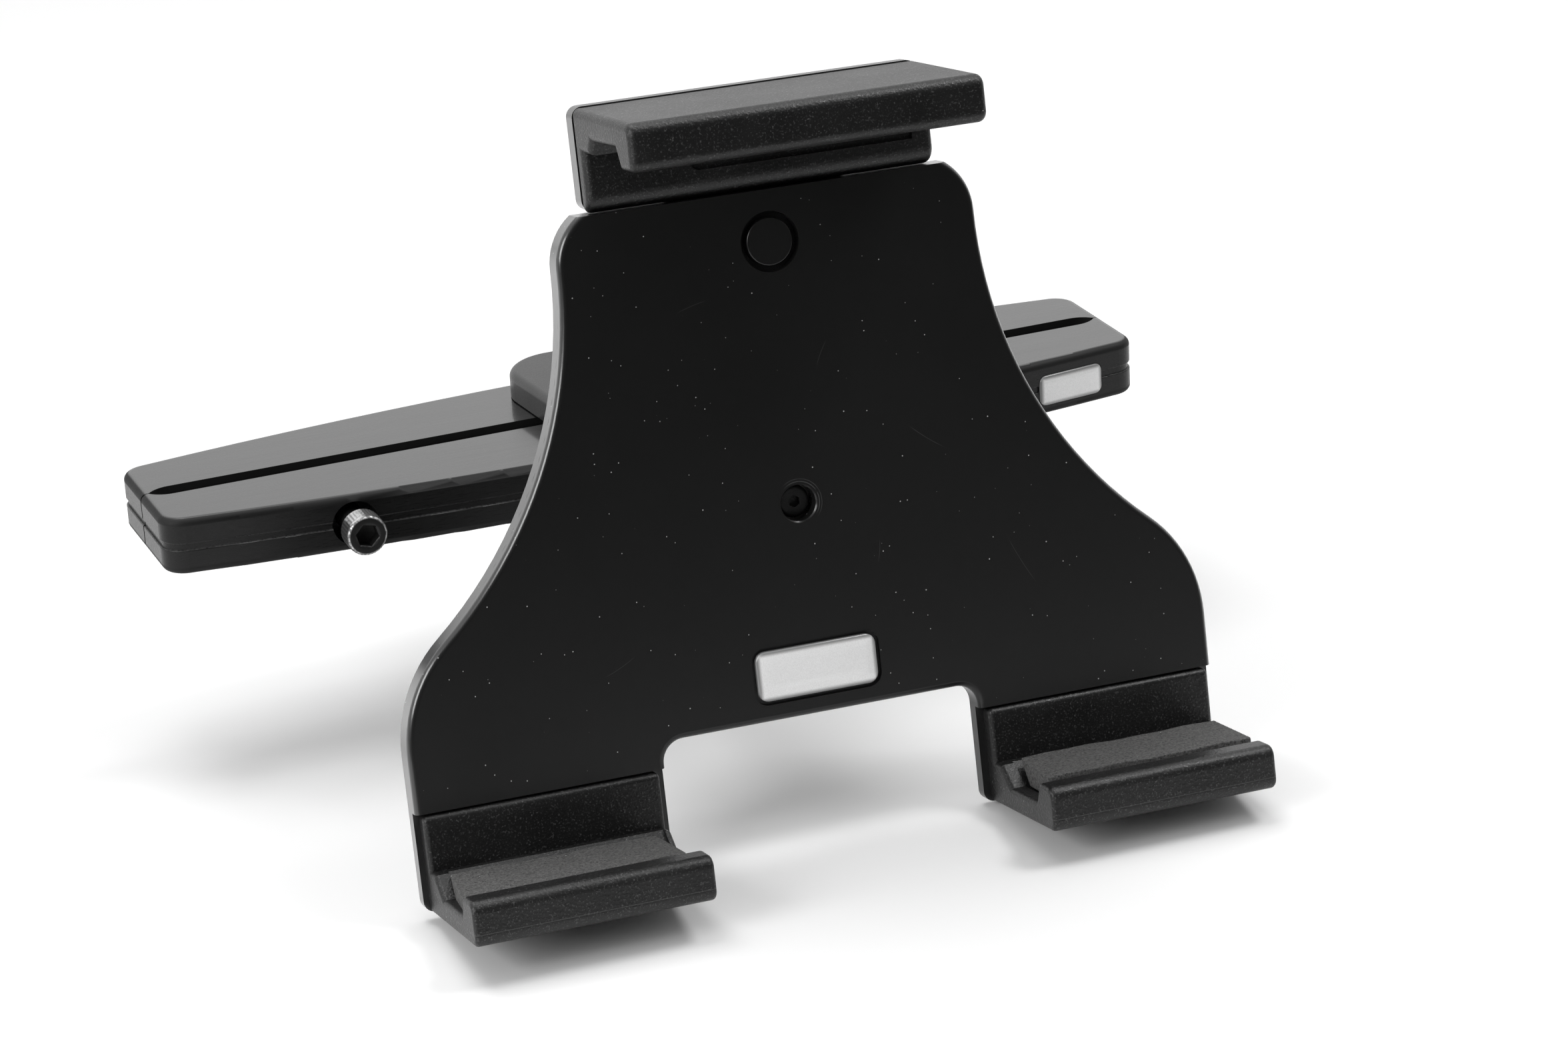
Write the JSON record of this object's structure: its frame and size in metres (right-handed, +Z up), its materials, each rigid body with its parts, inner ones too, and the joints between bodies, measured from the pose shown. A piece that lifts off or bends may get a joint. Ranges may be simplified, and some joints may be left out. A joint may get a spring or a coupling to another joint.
{
  "type": "headrest tablet mount",
  "caption": "Slotted clamp bar for headrest rods with an arm, a ball swivel and a plate whose fixed lower hooks and sprung top hook hold a tablet.",
  "frame": {"origin": "centre of the rod slot, at the middle of the bar's height", "axes": "+X along the bar, +Y back to the seat, +Z up along the headrest rods"},
  "size_m": [0.252, 0.1883, 0.1771],
  "materials": {
    "plate_plastic": "fine satin black moulding with rounded edges",
    "hook_plastic": "fine pebble grain black moulding",
    "bar_plastic": "smooth black moulding, faint milling streaks",
    "arm_plastic": "fine leather grain black moulding",
    "swivel_plastic": "fine satin black moulding",
    "liner_plastic": "smooth dark grey bearing plastic",
    "black_steel": "black oxide, worn bright on the knurl",
    "zinc_screw": "plain zinc plate",
    "spring_steel": "drawn spring wire",
    "pad_foam": "fine-cell dark grey foam",
    "badge_silver": "blank silver film under a clear dome"
  },
  "bodies": {
    "bar": {"front_jaw_upper": "bar_plastic", "front_jaw_lower": "bar_plastic", "front_jaw_screws": "zinc_screw", "arm": "arm_plastic", "arm_screws": "zinc_screw", "ball_cup": "swivel_plastic", "cup_screws": "zinc_screw", "clamp_ring": "swivel_plastic", "clamp_ring_screws": "zinc_screw", "bar_badge": "badge_silver"},
    "rear_jaw": {"rear_jaw_upper": "bar_plastic", "rear_jaw_lower": "bar_plastic", "rear_jaw_screws": "zinc_screw", "clamp_nuts": "zinc_screw"},
    "left_clamp_screw": {"clamp_screw_left": "black_steel"},
    "right_clamp_screw": {"clamp_screw_right": "black_steel"},
    "liner": {"socket_liner": "liner_plastic"},
    "stud": {"ball_stud": "swivel_plastic", "pivot_washer": "zinc_screw", "pivot_screw": "black_steel"},
    "holder": {"swivel_flange": "swivel_plastic", "flange_screws": "zinc_screw", "front_plate": "plate_plastic", "back_plate": "plate_plastic", "plate_screws": "zinc_screw", "guide_rivet": "plate_plastic", "plate_badge": "badge_silver", "lower_left_hook": "hook_plastic", "lower_right_hook": "hook_plastic", "lower_hook_screws": "zinc_screw", "lower_left_pad": "pad_foam", "lower_right_pad": "pad_foam", "spring_cover": "swivel_plastic", "cover_screws": "zinc_screw", "return_springs": "spring_steel"},
    "top_hook": {"top_hook": "hook_plastic", "top_hook_tongue": "plate_plastic", "top_hook_screws": "zinc_screw"}
  },
  "joints": [
    {"name": "jaw_slide", "type": "slide", "parent": "bar", "child": "rear_jaw", "axis": [0, 1, 0], "range_m": [0, 0.0095]},
    {"name": "left_screw_turn", "type": "hinge", "parent": "rear_jaw", "child": "left_clamp_screw", "pos_m": [-0.0812, -0.03, 0], "axis": [0, -1, 0], "continuous": true},
    {"name": "right_screw_turn", "type": "hinge", "parent": "rear_jaw", "child": "right_clamp_screw", "pos_m": [0.0812, -0.03, 0], "axis": [0, -1, 0], "continuous": true},
    {"name": "holder_swing", "type": "hinge", "parent": "bar", "child": "liner", "pos_m": [0, -0.078, 0.0113], "axis": [0, 0, 1], "range_deg": [-13.5, 16.5]},
    {"name": "holder_tilt", "type": "hinge", "parent": "liner", "child": "stud", "pos_m": [0, -0.078, 0.0113], "axis": [0.9996, -0.0265, 0], "range_deg": [-4, 26]},
    {"name": "holder_spin", "type": "hinge", "parent": "stud", "child": "holder", "pos_m": [0, -0.078, 0.0113], "axis": [-0.026, -0.9812, 0.1912], "continuous": true},
    {"name": "top_hook_slide", "type": "slide", "parent": "holder", "child": "top_hook", "axis": [0.0159, 0.1908, 0.9815], "range_m": [0, 0.028], "stiffness_N_per_m": 300, "springref_m": -0.02, "deforming": ["return_springs"]}
  ]
}
